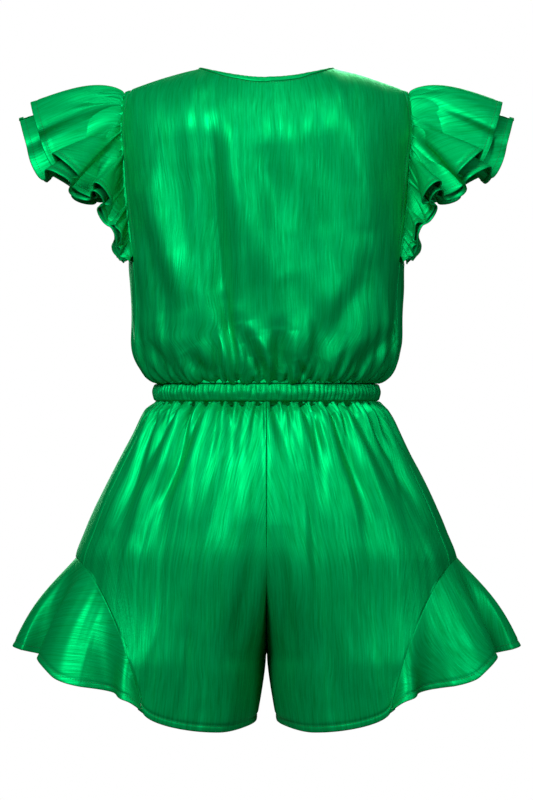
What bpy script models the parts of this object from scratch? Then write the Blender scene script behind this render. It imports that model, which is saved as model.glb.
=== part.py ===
"""Satin romper, hollow and in its worn form: wrap bodice, elastic waistband, shorts, side flounces, flutter sleeves.

Metres, +Z up. The wearer faces -Y and their left is +X. The origin lies midway between the two neck points of the
shoulder seams, where the garment hangs from the shoulders.
"""

import math
from collections import namedtuple

import bmesh
import bpy
from mathutils import Vector

# Driving dimensions.
CLOTH = 0.0012  # wall of every cloth panel
SEAM = 0.0003  # air between two pieces at a seam
NECK_HALF = 0.083  # neck point of the shoulder seam
SHOULDER_DROP = 0.027  # from the neck point to the shoulder tip
BACK_NECK_DROP = 0.010
BACK_NECK_REACH = 0.072  # how far the back neckline lies behind the shoulder seam
CREST = 0.085  # height over which the bodice rolls over the shoulders
UNDERARM_Z = -0.236
ARMHOLE_FRONT = 0.052
ARMHOLE_BACK = 0.049
WAIST_TOP = -0.3840
WAIST_BOTTOM = -0.4030
WAIST_HALF = 0.1335
WAIST_DEPTH = 0.0985
BLOUSE = 0.055  # height of the rounded overhang above the waistband
HIP_LINE = -0.550  # where the crotch curve starts
CROTCH_Z = -0.714
HEM_Z = -0.795
HEM_INNER = 0.017
FLOUNCE_SIDE_Z = -0.594
FLOUNCE_END_Z = -0.768
FLOUNCE_START = 0.213  # fraction of the leg, from centre back, where the flounce meets the hem
BINDING = 0.009
BINDING_LIFT = 0.0008  # air under a binding
SECTION_POWER = 2.4
SIDE_SEAM = math.radians(66.5)  # from centre back, before the section's depth is applied
LEG_SIDE_SEAM = 0.36  # fraction of the leg from centre back
CLOTH_GREEN = (0.004, 0.30, 0.085, 1.0)

BodiceRow = namedtuple("BodiceRow", "z half_width back front")
BODICE = (
    BodiceRow(-0.3840, 0.1650, 0.119, 0.121),
    BodiceRow(-0.3350, 0.1652, 0.119, 0.123),
    BodiceRow(-0.2850, 0.1636, 0.118, 0.126),
    BodiceRow(-0.2360, 0.1680, 0.118, 0.130),
    BodiceRow(-0.1500, 0.1745, 0.117, 0.124),
    BodiceRow(-0.0800, 0.1760, 0.116, 0.116),
    BodiceRow(0.0000, 0.1720, 0.114, 0.112),
)
ShortsRow = namedtuple("ShortsRow", "z half_width depth")
SHORTS = (
    ShortsRow(-0.4030, 0.1345, 0.0995),
    ShortsRow(-0.4150, 0.1460, 0.110),
    ShortsRow(-0.4400, 0.1610, 0.121),
    ShortsRow(-0.4640, 0.1745, 0.129),
    ShortsRow(-0.4880, 0.1867, 0.136),
    ShortsRow(-0.5250, 0.2050, 0.144),
    ShortsRow(-0.5610, 0.2200, 0.149),
    ShortsRow(-0.5940, 0.2320, 0.152),
    ShortsRow(-0.7000, 0.2380, 0.146),
    ShortsRow(-0.8000, 0.2400, 0.140),
)
SleeveRow = namedtuple("SleeveRow", "along z out down reach")  # reach is backwards, or forwards in front
SLEEVE = (
    SleeveRow(0.00, -0.027, 0.112, 0.016, 0.000),
    SleeveRow(0.20, -0.043, 0.099, 0.036, 0.026),
    SleeveRow(0.40, -0.063, 0.080, 0.053, 0.040),
    SleeveRow(0.55, -0.083, 0.056, 0.066, 0.046),
    SleeveRow(0.70, -0.112, 0.032, 0.056, 0.040),
    SleeveRow(0.85, -0.165, 0.017, 0.036, 0.026),
    SleeveRow(1.00, -0.230, 0.006, 0.008, 0.004),
)
Fold = namedtuple("Fold", "centre width height")  # in parts of a flounce's length, and metres at its hem
FLOUNCE_FOLDS_LEFT = (
    Fold(0.10, 0.050, 0.010),
    Fold(0.20, 0.045, -0.008),
    Fold(0.29, 0.050, 0.012),
    Fold(0.39, 0.045, -0.014),
    Fold(0.50, 0.055, 0.012),
    Fold(0.61, 0.045, -0.013),
    Fold(0.71, 0.050, 0.012),
    Fold(0.81, 0.045, -0.008),
    Fold(0.90, 0.050, 0.009),
)
FLOUNCE_FOLDS_RIGHT = (
    Fold(0.11, 0.055, 0.011),
    Fold(0.21, 0.045, -0.009),
    Fold(0.31, 0.050, 0.011),
    Fold(0.41, 0.045, -0.013),
    Fold(0.51, 0.055, 0.013),
    Fold(0.62, 0.045, -0.012),
    Fold(0.72, 0.050, 0.011),
    Fold(0.81, 0.045, -0.009),
    Fold(0.90, 0.045, 0.010),
)
BODICE_BACK_GATHERS = 16
BODICE_FRONT_GATHERS = 12  # on each front
UNDER_GAP = 0.0034  # how far the under front lies inside the over front
SHORTS_BACK_GATHERS = 8  # on each half
SHORTS_FRONT_GATHERS = 12
BINDING_CLOTH = 0.0011
BINDING_FROM = 0.055  # the row above the waist seam at which the wrap's bindings end
BAND_GATHERS = 76
BAND_TILTS = (90, 40, 0, -40, -90)  # degrees round the casing's rounded outer face
BAND_PUFF = 0.0022
BAND_RIDGE = 0.0011
SLEEVE_WAVES = 9
SLEEVE_WAVE = (0.003, 0.011)  # height of the waves at the hem: over the shoulder, and lower down
SLEEVE_CROWN = 0.013
SLEEVE_CLEAR = 0.0004
WAVE_CROWD = 1.6  # waves are closer together towards the underarm
LOWER_LENGTH = 1.15  # of the upper tier
LOWER_HANG = 0.017
ARMHOLE_MIDDLE = (0.004, -0.130)  # y and z
FLOUNCE_OUTWARD = 0.8  # how much more the flounce points sideways than the leg's own surface
FLOUNCE_FLARE = (0.35, 0.60)
FLOUNCE_LENGTH = (0.004, 0.124)
FLOUNCE_BOW = 0.010


def lerp(a, b, t):
    return a + (b - a) * t


def clamp(value, low=0.0, high=1.0):
    return max(low, min(high, value))


def smooth(t):
    t = clamp(t)
    return t * t * (3 - 2 * t)


def table_at(rows, key, place):
    """The row of a table at a place along its key, by a smooth curve through the rows."""
    keys = [getattr(row, key) for row in rows]
    if keys[0] > keys[-1]:
        rows, keys = rows[::-1], keys[::-1]
    place = clamp(place, keys[0], keys[-1])
    last = len(rows) - 1
    k = max(i for i in range(last) if keys[i] <= place or i == 0)
    a, b = rows[k], rows[k + 1]
    before, after = rows[max(k - 1, 0)], rows[min(k + 2, last)]
    span = keys[k + 1] - keys[k]
    t = (place - keys[k]) / span
    values = []
    for p0, p1, p2, p3, in zip(before, a, b, after):
        left = keys[k] - keys[max(k - 1, 0)] or span
        right = keys[min(k + 2, last)] - keys[k + 1] or span
        m1 = (p2 - p0) / (span + left) * span
        m2 = (p3 - p1) / (span + right) * span
        values.append(
            (2 * t**3 - 3 * t**2 + 1) * p1 + (t**3 - 2 * t**2 + t) * m1 + (3 * t**2 - 2 * t**3) * p2 + (t**3 - t**2) * m2
        )
    return type(a)(*values)


def section(angle):
    """Unit superellipse: x and y at an angle from centre back."""
    s, c = math.sin(angle), math.cos(angle)
    size = (abs(s) ** SECTION_POWER + abs(c) ** SECTION_POWER) ** (1 / SECTION_POWER)
    return s / size, c / size


def material(name, colour):
    made = bpy.data.materials.new(name)
    made.use_nodes = True
    shader = made.node_tree.nodes["Principled BSDF"]
    shader.inputs["Base Color"].default_value = colour
    shader.inputs["Roughness"].default_value = 0.38
    shader.inputs["Metallic"].default_value = 0.0
    return made


def stitch(bm, a, b, flip):
    """Triangles between two rows of (station, vertex), walked along by station."""
    i = j = 0
    while i < len(a) - 1 or j < len(b) - 1:
        step_a = j == len(b) - 1 or (i < len(a) - 1 and a[i + 1][0] + a[i][0] <= b[j + 1][0] + b[j][0])
        if step_a:
            face = (a[i][1], a[i + 1][1], b[j][1])
            i += 1
        else:
            face = (a[i][1], b[j + 1][1], b[j][1])
            j += 1
        bm.faces.new(face[::-1] if flip else face)


def shell(name, outer, inner, collection, ring=False):
    """A closed cloth wall from outer and inner rows of (station, point). A ring joins its rows' ends."""
    bm = bmesh.new()
    skins = []
    for rows in (outer, inner):
        made = [[(s, bm.verts.new(p)) for s, p in row] for row in rows]
        if ring:
            made = [row + [(row[0][0] + 1.0, row[0][1])] for row in made]
        skins.append(made)
    for made, flip in zip(skins, (False, True)):
        for a, b in zip(made, made[1:]):
            stitch(bm, a, b, flip)
    top, bottom = skins
    stitch(bm, bottom[0], top[0], False)
    stitch(bm, top[-1], bottom[-1], False)
    if not ring:
        for end in (0, -1):
            for (_, a), (_, b), (_, c), (_, d) in zip(
                [row[end] for row in top],
                [row[end] for row in top[1:]],
                [row[end] for row in bottom[1:]],
                [row[end] for row in bottom],
            ):
                quad = (a, b, c, d) if end == 0 else (d, c, b, a)
                bm.faces.new((quad[0], quad[1], quad[2]))
                bm.faces.new((quad[0], quad[2], quad[3]))
    bmesh.ops.recalc_face_normals(bm, faces=bm.faces)
    mesh = bpy.data.meshes.new(name)
    bm.to_mesh(mesh)
    bm.free()
    mesh.materials.append(material(name + "_satin", CLOTH_GREEN))
    mesh.shade_smooth()
    made = bpy.data.objects.new(name, mesh)
    collection.objects.link(made)
    return made


def normal_at(surface, u, v, outward):
    """Unit normal of surface(u, v) by small steps that stay inside 0..1."""
    e = 1e-3
    du = surface(min(u + e, 1.0), v) - surface(max(u - e, 0.0), v)
    dv = surface(u, min(v + e, 1.0)) - surface(u, max(v - e, 0.0))
    return (du.cross(dv) * outward).normalized()


def cloth_rows(surface, rows, outward, relief=None, wall=CLOTH, lift=0.0, trims=(True, True), limit=None):
    """Outer and inner rows of a panel: the ends stand half a seam inside the surface's own edges."""
    outer, inner = [], []
    for v, stations in rows:
        out_row, in_row = [], []
        for u in stations:
            point = surface(u, v)
            normal = normal_at(surface, u, v, outward)
            for end, trim in zip((0.0, 1.0), trims):
                if u == end and trim:
                    inward = surface(abs(end - 1e-3), v) - point
                    point = point + inward.normalized() * SEAM / 2
            if relief:
                point = point + normal * relief(u, v)
            a, b = point + normal * lift, point - normal * wall
            if limit:
                a, b = limit(a, u, v), limit(b, u, v)
            out_row.append((u, a))
            in_row.append((u, b))
        outer.append(out_row)
        inner.append(in_row)
    return outer, inner


def spread(count, start=0.0, end=1.0):
    return [start + (end - start) * k / count for k in range(count + 1)]


def gather_height(k, height):
    """Fold k of a gathered seam: ridges and troughs alternate and differ a little in height."""
    return height * (0.78 + 0.22 * math.sin(2.3 * k)) * (1 if k % 2 == 0 else -1)


# ---------------------------------------------------------------- bodice


def armhole_angle(z):
    """Angle round the armhole from the underarm, 0, to the shoulder tip, pi, at a height."""
    low, high = UNDERARM_Z, -SHOULDER_DROP
    k = clamp(((low + high) / 2 - z) / ((high - low) / 2), -1.0, 1.0)
    return math.acos(math.copysign(abs(k) ** (1 / 0.8), k))


def armhole_depth(z, back):
    """How far behind (+) or before (-) the shoulder seam the armhole's edge lies."""
    half = armhole_angle(z) / 2
    if back:
        return ARMHOLE_BACK * math.cos(half)
    return ARMHOLE_BACK * math.cos(half) ** 4 - ARMHOLE_FRONT * abs(math.sin(2 * half)) ** 0.7


def shoulder_z(x):
    """Height of the bodice's top edge at a distance from the centre."""
    x = abs(x)
    if x < NECK_HALF:
        return -BACK_NECK_DROP * (1 - (x / NECK_HALF) ** 2)
    t = (x - NECK_HALF) / (table_at(BODICE, "z", -SHOULDER_DROP).half_width - NECK_HALF)
    return -SHOULDER_DROP * t**1.25


def neck_reach(x):
    x = abs(x)
    return BACK_NECK_REACH * math.sqrt(1 - (x / NECK_HALF) ** 2) if x < NECK_HALF else 0.0


def bodice_section(z, back):
    row = table_at(BODICE, "z", z)
    width, depth = row.half_width, row.back if back else row.front
    swell = math.sqrt(1 - (1 - clamp((z - WAIST_TOP) / BLOUSE)) ** 2)
    return lerp(WAIST_HALF, width, swell), lerp(WAIST_DEPTH, depth, swell)


def edge_angle(z, back):
    """Angle from centre back (front) at which a row ends: the side seam, or the armhole above it."""
    if z <= UNDERARM_Z:
        return SIDE_SEAM if back else math.pi - SIDE_SEAM
    z = min(z, -SHOULDER_DROP - SEAM)
    behind = armhole_depth(z, back)
    depth = bodice_section(z, behind > 0)[1]
    roll = math.sqrt(1 - (1 - clamp((-SHOULDER_DROP - z) / CREST)) ** 2)
    share = (behind if back else -behind) / (depth * roll)
    return math.atan2((1 - abs(share) ** SECTION_POWER) ** (1 / SECTION_POWER), share)


def bodice_point(angle, z_edge, back):
    """A point at an angle from centre back or front, on the row whose outer end is at z_edge."""
    across, along = section(angle)
    width, depth = bodice_section(z_edge, back or along < 0)
    tip = section(edge_angle(z_edge, back))[0]
    x = width * across * lerp(1, 1 / tip, smooth((z_edge + 0.12) / 0.06))
    top = shoulder_z(x) if back or abs(x) >= NECK_HALF else 0.0
    rise = smooth((z_edge + 0.15) / (0.15 - SHOULDER_DROP))
    z = z_edge + rise * (top + SHOULDER_DROP)
    roll = math.sqrt(1 - (1 - clamp((top - z) / CREST)) ** 2)
    reach = neck_reach(x) if back else 0.0
    upright = math.sin(clamp((top - z) / CREST) * math.pi / 2)
    y = lerp(reach, depth * along, lerp(roll, upright, reach / BACK_NECK_REACH))
    return Vector((x, y if back else -y, z))


def bodice_height(v):
    """Height of a row's outer end: 0 is the waist seam, 1 the shoulder tip. Rows crowd at both rounded ends."""
    low, high = WAIST_TOP + SEAM, -SHOULDER_DROP
    if v < 0.25:
        return low + BLOUSE * (1 - math.cos(v / 0.25 * math.pi / 2))
    if v < 0.75:
        return lerp(low + BLOUSE, high - CREST, (v - 0.25) / 0.5)
    return high - CREST + CREST * math.sin((v - 0.75) / 0.25 * math.pi / 2)


def bodice_row(z):
    """The inverse of bodice_height in its straight middle stretch."""
    low, high = WAIST_TOP + SEAM + BLOUSE, -SHOULDER_DROP - CREST
    return 0.25 + 0.5 * (z - low) / (high - low)


def back_surface(u, v):
    z = bodice_height(v)
    edge = edge_angle(z, True)
    return bodice_point(lerp(edge, -edge, u), z, True)


def wrap_edge(v):
    """How far across the centre the wrap's front edge lies, positive on the panel's own side."""
    return lerp(-0.066, NECK_HALF, v**1.15)


def front_surface(side):
    """A front panel from its side seam and armhole, u = 0, to the wrap's edge, u = 1. side is +1 on the left."""

    def surface(u, v):
        z = bodice_height(v)
        edge = edge_angle(z, False)
        width = bodice_section(z, False)[0] * lerp(1, 1 / section(edge)[0], smooth((z + 0.12) / 0.06))
        across = wrap_edge(v) / width
        along = (1 - abs(across) ** SECTION_POWER) ** (1 / SECTION_POWER)
        point = bodice_point(lerp(edge, math.atan2(across, along), u), z, False)
        point.x *= side
        return point

    return surface


GATHER_ROWS = ((0.0, 0.0), (0.055, 0.75), (0.12, 1.0), (0.19, 0.8), (0.26, 0.5), (0.36, 0.2))
UPPER_ROWS = (-0.236, -0.2335, -0.227, -0.214, -0.192, -0.155, -0.112)
CREST_ROWS = (0.80, 0.86, 0.92, 0.97, 1.0)


def bodice_rows(fine, coarse):
    rows = [(v, fine) for v, _ in GATHER_ROWS]
    rows += [(bodice_row(z), coarse) for z in UPPER_ROWS]
    return rows + [(v, coarse) for v in CREST_ROWS]


def waist_relief(folds, height):
    """Ridges at every second column of the gathered rows, from nothing at the seam and fading upwards."""
    fades = dict(GATHER_ROWS)

    def relief(u, v):
        k = round(u * folds * 2)
        ridge = 0.5 * (height + gather_height(k, height))
        return ridge * fades.get(v, 0.0) * math.sin(math.pi * clamp(u, 0.0, 1.0)) ** 0.3

    return relief


def shoulder_seam(back):
    """Keeps the top row of a bodice panel half a seam away from the shoulder seam."""

    def limit(point, u, v):
        if v == 1.0:
            point = point.copy()
            point.y = max(point.y, SEAM / 2) if back else min(point.y, -SEAM / 2)
        return point

    return limit


def front_relief(side):
    """The left front is tucked under the right one, and the gathers fade out before the bound edge."""
    under = side > 0
    gathers = waist_relief(BODICE_FRONT_GATHERS, 0.003)

    def relief(u, v):
        tuck = -UNDER_GAP * smooth(u / 0.4) if under else 0.0
        plain = 1 - (smooth((u - 0.3) / 0.2) if under else smooth((u - 0.84) / 0.08))
        return tuck + gathers(u, v) * plain

    return relief


def back_stations():
    """Columns of the back panel, with one on each neck point."""
    low, high = 0.0, 0.5
    for _ in range(20):
        middle = (low + high) / 2
        if back_surface(middle, 1.0).x > NECK_HALF:
            low = middle
        else:
            high = middle
    half = spread(4, 0.0, low) + spread(5, low, 0.5)[1:]
    return half + [1 - u for u in reversed(half[:-1])]


def strip_width(surface, fixed, along_edge, width):
    """How far in from the edge at 1 a strip of this width reaches, on surface(u, v) or across it."""
    edge = surface(fixed, 1.0) if along_edge else surface(1.0, fixed)
    low, high = 0.5, 1.0
    for _ in range(18):
        middle = (low + high) / 2
        point = surface(fixed, middle) if along_edge else surface(middle, fixed)
        if (point - edge).length > width:
            low = middle
        else:
            high = middle
    return high


def make_bindings(collection):
    """Bias strips lying on the back neckline and on both wrap edges."""

    columns = back_stations()[4:-4]
    columns[0], columns[-1] = lerp(columns[0], columns[1], 0.2), lerp(columns[-1], columns[-2], 0.2)
    start, end = columns[0], columns[-1]

    def neck(u, t):
        place = lerp(start, end, u)
        return back_surface(place, lerp(strip_width(back_surface, place, True, BINDING), 1.0, t))

    rows = [(t, [(c - start) / (end - start) for c in columns]) for t in (0.0, 0.5, 1.0)]
    size = dict(wall=-BINDING_LIFT, lift=BINDING_LIFT + BINDING_CLOTH)
    shell("neck_binding_back", *cloth_rows(neck, rows, 1, limit=shoulder_seam(True), **size), collection)
    for side, word in ((-1, "right"), (1, "left")):
        panel = front_surface(side)
        tuck = -UNDER_GAP if side > 0 else 0.0

        def edge(t, v, panel=panel):
            row = lerp(BINDING_FROM, 1.0, v)
            return panel(lerp(strip_width(panel, row, False, BINDING), 1.0, t), row)

        heights = [v for v, _ in bodice_rows([], []) if v >= BINDING_FROM]
        rows = [((v - BINDING_FROM) / (1 - BINDING_FROM), spread(2)) for v in heights]
        skins = cloth_rows(edge, rows, -side, lambda u, v, tuck=tuck: tuck, limit=shoulder_seam(False), **size)
        shell(f"neck_binding_{word}", *skins, collection)


def make_bodice(collection):
    folds = BODICE_BACK_GATHERS
    rows = bodice_rows(spread(folds * 2), back_stations())
    skins = cloth_rows(back_surface, rows, 1, waist_relief(folds, 0.003), limit=shoulder_seam(True))
    shell("bodice_back", *skins, collection)
    rows = bodice_rows(spread(BODICE_FRONT_GATHERS * 2), spread(14))
    for side, word in ((-1, "right"), (1, "left")):
        skins = cloth_rows(front_surface(side), rows, -side, front_relief(side), limit=shoulder_seam(False))
        shell(f"bodice_front_{word}", *skins, collection)


# ---------------------------------------------------------------- waistband


def make_waistband(collection):
    """A puffy elastic casing, gathered on its outer face over a plain inside."""
    middle, half = (WAIST_TOP + WAIST_BOTTOM) / 2, (WAIST_TOP - WAIST_BOTTOM) / 2
    columns = BAND_GATHERS * 2
    outer = []
    for tilt in BAND_TILTS:
        angle = math.radians(tilt)
        puff = BAND_PUFF * math.cos(angle) ** 0.6
        row = []
        for k in range(columns):
            across, along = section(2 * math.pi * k / columns)
            out = puff + 0.5 * (BAND_RIDGE + gather_height(k, BAND_RIDGE)) * math.cos(angle)
            point = Vector((across * WAIST_HALF, along * WAIST_DEPTH, middle + half * math.sin(angle)))
            row.append((k / columns, point + Vector((across, along, 0)).normalized() * out))
        outer.append(row)
    plain = BAND_GATHERS // 2
    inner = []
    for z in (WAIST_TOP, WAIST_BOTTOM):
        row = []
        for k in range(plain):
            across, along = section(2 * math.pi * k / plain)
            point = Vector((across * WAIST_HALF, along * WAIST_DEPTH, z))
            row.append((k / plain, point - Vector((across, along, 0)).normalized() * CLOTH))
        inner.append(row)
    shell("waistband", outer, inner, collection, ring=True)


# ---------------------------------------------------------------- shorts


def leg_bottom(u):
    """Height of the leg's lower edge, hem or flounce seam, at a fraction of the way round from centre back."""
    away = clamp(abs(u - 0.5) / (0.5 - FLOUNCE_START))
    seam = lerp(FLOUNCE_SIDE_Z, FLOUNCE_END_Z, away**2.6)
    beyond = clamp((abs(u - 0.5) - (0.5 - FLOUNCE_START)) / FLOUNCE_START)
    return lerp(seam, HEM_Z, math.sin(beyond * math.pi / 2) ** 0.7 * (1 - 0.15 * smooth((beyond - 0.7) / 0.3)))


def leg_point(u, z):
    """A point of the left leg. The crotch curve turns the pelvis's section into a closed leg."""
    row = table_at(SHORTS, "z", z)
    across, along = section(math.pi * u)
    hips = Vector((row.half_width * across, row.depth * along, z))
    fall = clamp((HIP_LINE - z) / (HIP_LINE - CROTCH_Z))
    closed = 1 - math.sqrt(1 - fall**2)
    inner = HEM_INNER * clamp((CROTCH_Z - z) / (CROTCH_Z - HEM_Z))
    x = lerp(inner, row.half_width, across)
    share = abs(2 * (x - inner) / (row.half_width - inner) - 1)
    y = row.depth * math.copysign((1 - min(share, 1.0) ** 2.6) ** (1 / 2.6), along)
    return hips.lerp(Vector((x, y, z)), closed)


def leg_height(u, v):
    """Height of row v: straight rows to the hip line, then rows that spread to the crotch and the lower edge."""
    top = WAIST_BOTTOM - SEAM
    if v <= 0.5:
        return lerp(top, HIP_LINE, (v / 0.5) ** 1.3)
    crotch = (HIP_LINE - CROTCH_Z) / (HIP_LINE - HEM_Z)
    t = (v - 0.5) / 0.5
    if t < 0.6:
        share = crotch * math.sin(t / 0.6 * math.pi / 2)
    else:
        share = lerp(crotch, 1.0, (t - 0.6) / 0.4)
    return lerp(HIP_LINE, leg_bottom(u), share)


def leg_surface(side, start, end):
    def surface(u, v):
        round_leg = lerp(start, end, u)
        point = leg_point(round_leg, leg_height(round_leg, v))
        point.x *= side
        return point

    return surface


def keep_apart(side, back):
    """Holds a leg's wall half a seam off the centre, and its front and back off each other at the crotch."""

    def limit(point, u, v):
        x = max(point.x * side, SEAM / 2) * side
        y = point.y
        if (u == 0.0 and back) or (u == 1.0 and not back):
            y = max(y, SEAM / 2) if back else min(y, -SEAM / 2)
        return Vector((x, y, point.z))

    return limit


HIP_FADES = ((0.0, 0.0), (0.05, 0.85), (0.12, 1.0), (0.20, 0.75), (0.29, 0.4))
LEG_ROWS = (0.40, 0.50, 0.60, 0.68, 0.74, 0.78, 0.80, 0.87, 0.94, 1.0)
BACK_STATIONS = (0.0, 0.03, 0.08, 0.16, 0.27, 0.40, 0.53, 0.592, 0.72, 0.86, 1.0)


def hip_relief(folds, height):
    fades = dict(HIP_FADES)

    def relief(u, v):
        k = round(u * folds * 2)
        return gather_height(k, height) * fades.get(v, 0.0) * math.sin(math.pi * clamp(u)) ** 0.3

    return relief


def front_stations():
    mirrored = [1 - s * LEG_SIDE_SEAM / (1 - LEG_SIDE_SEAM) for s in BACK_STATIONS[:-1]]
    return [0.0, 0.12, 0.22, 0.33] + sorted(s for s in mirrored if s > 0.4)


def make_shorts(collection):
    split = LEG_SIDE_SEAM
    for side, word in ((1, "left"), (-1, "right")):
        for back in (True, False):
            folds = SHORTS_BACK_GATHERS if back else SHORTS_FRONT_GATHERS
            start, end = (0.0, split) if back else (split, 1.0)
            rows = [(v, spread(folds * 2)) for v, _ in HIP_FADES]
            stations = BACK_STATIONS if back else front_stations()
            rows += [(v, stations) for v in LEG_ROWS]
            surface = leg_surface(side, start, end)
            skins = cloth_rows(surface, rows, side, hip_relief(folds, 0.0028), limit=keep_apart(side, back))
            shell(f"shorts_{'back' if back else 'front'}_{word}", *skins, collection)


# ---------------------------------------------------------------- flounces


def flounce_base(w, r):
    """Left flounce without its folds: w runs along the seam from back to front, r from the seam to the hem."""
    u = lerp(FLOUNCE_START, 1 - FLOUNCE_START, w)
    z = leg_bottom(u)
    seam = leg_point(u, z)
    down_leg = (seam - leg_point(u, z + 0.002)).normalized()
    across, along = section(math.pi * u)
    out = Vector((across + FLOUNCE_OUTWARD, along, 0)).normalized()
    mid = math.sin(math.pi * clamp(w))
    fall = (out * lerp(FLOUNCE_FLARE[0], FLOUNCE_FLARE[1], mid) + Vector((0, 0, -1))).normalized()
    length = lerp(FLOUNCE_LENGTH[0], FLOUNCE_LENGTH[1], mid**0.52)
    bow = out * FLOUNCE_BOW * mid * math.sin(math.pi * r)
    return seam + down_leg * SEAM + fall * length * r + bow


def wave(surface, height):
    """A surface moved out along its own normal."""

    def moved(u, v):
        return surface(u, v) + normal_at(surface, u, v, 1) * height(u, v)

    return moved


def fold_height(folds):
    def height(w, r):
        total = 0.0
        for fold in folds:
            t = abs(w - fold.centre) / (fold.width * 1.5)
            if t < 1:
                total += fold.height * math.cos(t * math.pi / 2) ** 2
        return -total * r**1.3

    return height


def leg_stations():
    """Fractions of the leg at which its lower edge has a point, so that the flounce's edge runs along it."""
    split = LEG_SIDE_SEAM
    places = [s * split for s in BACK_STATIONS] + [lerp(split, 1.0, s) for s in front_stations()]
    inside = [(u - FLOUNCE_START) / (1 - 2 * FLOUNCE_START) for u in places]
    return sorted({round(w, 4) for w in inside if 0.001 < w < 0.999} | {0.0, 1.0})


def make_flounces(collection):
    for side, word, folds in ((1, "left", FLOUNCE_FOLDS_LEFT), (-1, "right", FLOUNCE_FOLDS_RIGHT)):
        surface = wave(flounce_base, fold_height(folds))

        def placed(w, r, surface=surface, side=side):
            point = surface(w, r)
            point.x *= side
            return point

        rows = [(0.0, leg_stations())] + [(r, spread(44)) for r in (0.12, 0.4, 0.7, 1.0)]
        skins = cloth_rows(placed, rows, side, trims=(False, False))
        shell(f"flounce_{word}", *skins, collection)


# ---------------------------------------------------------------- sleeves


def sleeve_place(z):
    """The sleeve table's station for a height on the armhole."""
    low, high = 0.0, 1.0
    for _ in range(20):
        middle = (low + high) / 2
        if table_at(SLEEVE, "along", middle).z > z:
            low = middle
        else:
            high = middle
    return low


def sleeve_base(length):
    """Left sleeve without waves: w from the back of the underarm, 0, over the shoulder, to its front, 1."""

    def surface(w, r):
        along = abs(2 * w - 1)
        back = w < 0.5
        row = table_at(SLEEVE, "along", along)
        start = bodice_point(edge_angle(row.z, back), row.z, back)
        centre = Vector((start.x, ARMHOLE_MIDDLE[0], ARMHOLE_MIDDLE[1]))
        inward = (centre - start).normalized()
        reach = row.reach if back else -row.reach
        crown = SLEEVE_CROWN * (1 - along) ** 2 * math.sin(math.pi * clamp(r * length) ** 0.7)
        point = start + (Vector((1, 0, 0)) + inward) * SLEEVE_CLEAR
        return point + Vector((row.out, reach, -row.down)) * r * length + Vector((0, 0, crown))

    return surface


def sleeve_height(shift, length, under):
    """Waves along the sleeve's normal. The lower tier hangs under the upper one and follows its waves."""

    def height(w, r):
        along = abs(2 * w - 1)
        phase = 2 * math.pi * (SLEEVE_WAVES / 2) * along**WAVE_CROWD + shift * along
        size = lerp(SLEEVE_WAVE[0], SLEEVE_WAVE[1], smooth(along / 0.4)) * lerp(1, 0.35, smooth((along - 0.7) / 0.3))
        hang = CLOTH + SEAM + LOWER_HANG * lerp(1, 0.45, along) * (r * length) ** 1.5 if under else 0.0
        return size * math.cos(phase) * (r * length) ** 1.2 - hang

    return height


def sleeve_stations():
    heights = [bodice_height(v) for v in CREST_ROWS] + [z for z in UPPER_ROWS if z > SLEEVE[-1].z]
    places = sorted(sleeve_place(z) for z in heights if z < SLEEVE[0].z - SEAM)
    places = [p for p in places if p < 0.995] + [1.0]
    return [0.5 - p / 2 for p in reversed(places)] + [0.5] + [0.5 + p / 2 for p in places]


def wave_stations():
    half = SLEEVE_WAVES * 3
    places = [(k / half) ** (1 / WAVE_CROWD) for k in range(1, half + 1)]
    return [0.5 - p / 2 for p in reversed(places)] + [0.5] + [0.5 + p / 2 for p in places]


def make_sleeves(collection):
    for side, word, shift in ((1, "left", 0.0), (-1, "right", 0.5)):
        for length, level in ((1.0, "upper"), (LOWER_LENGTH, "lower")):
            surface = wave(sleeve_base(length), sleeve_height(shift, length, level == "lower"))

            def placed(w, r, surface=surface, side=side):
                point = surface(w, r)
                point.x *= side
                return point

            rows = [(0.0, sleeve_stations())] + [(r, wave_stations()) for r in (0.12, 0.4, 0.7, 1.0)]
            skins = cloth_rows(placed, rows, side, trims=(False, False))
            shell(f"sleeve_{level}_{word}", *skins, collection)


def main():
    for old in list(bpy.data.objects):
        bpy.data.objects.remove(old)
    romper = bpy.data.collections.new("satin_romper")
    bpy.context.scene.collection.children.link(romper)
    make_bodice(romper)
    make_bindings(romper)
    make_waistband(romper)
    make_shorts(romper)
    make_flounces(romper)
    make_sleeves(romper)


main()
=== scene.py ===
import math

import bpy
import numpy as np
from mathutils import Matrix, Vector


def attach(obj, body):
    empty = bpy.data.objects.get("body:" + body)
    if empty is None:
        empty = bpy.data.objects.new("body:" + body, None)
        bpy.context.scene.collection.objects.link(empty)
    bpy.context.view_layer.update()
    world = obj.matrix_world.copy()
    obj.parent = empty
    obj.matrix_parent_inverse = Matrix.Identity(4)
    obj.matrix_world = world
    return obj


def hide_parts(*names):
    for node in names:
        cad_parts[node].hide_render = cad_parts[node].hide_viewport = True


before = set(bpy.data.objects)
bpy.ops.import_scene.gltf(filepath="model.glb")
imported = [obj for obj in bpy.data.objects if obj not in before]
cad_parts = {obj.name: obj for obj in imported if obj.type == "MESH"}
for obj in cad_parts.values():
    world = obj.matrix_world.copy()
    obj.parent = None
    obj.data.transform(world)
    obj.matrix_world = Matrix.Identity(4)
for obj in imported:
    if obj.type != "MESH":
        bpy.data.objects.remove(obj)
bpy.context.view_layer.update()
print("frame loaded")

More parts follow.
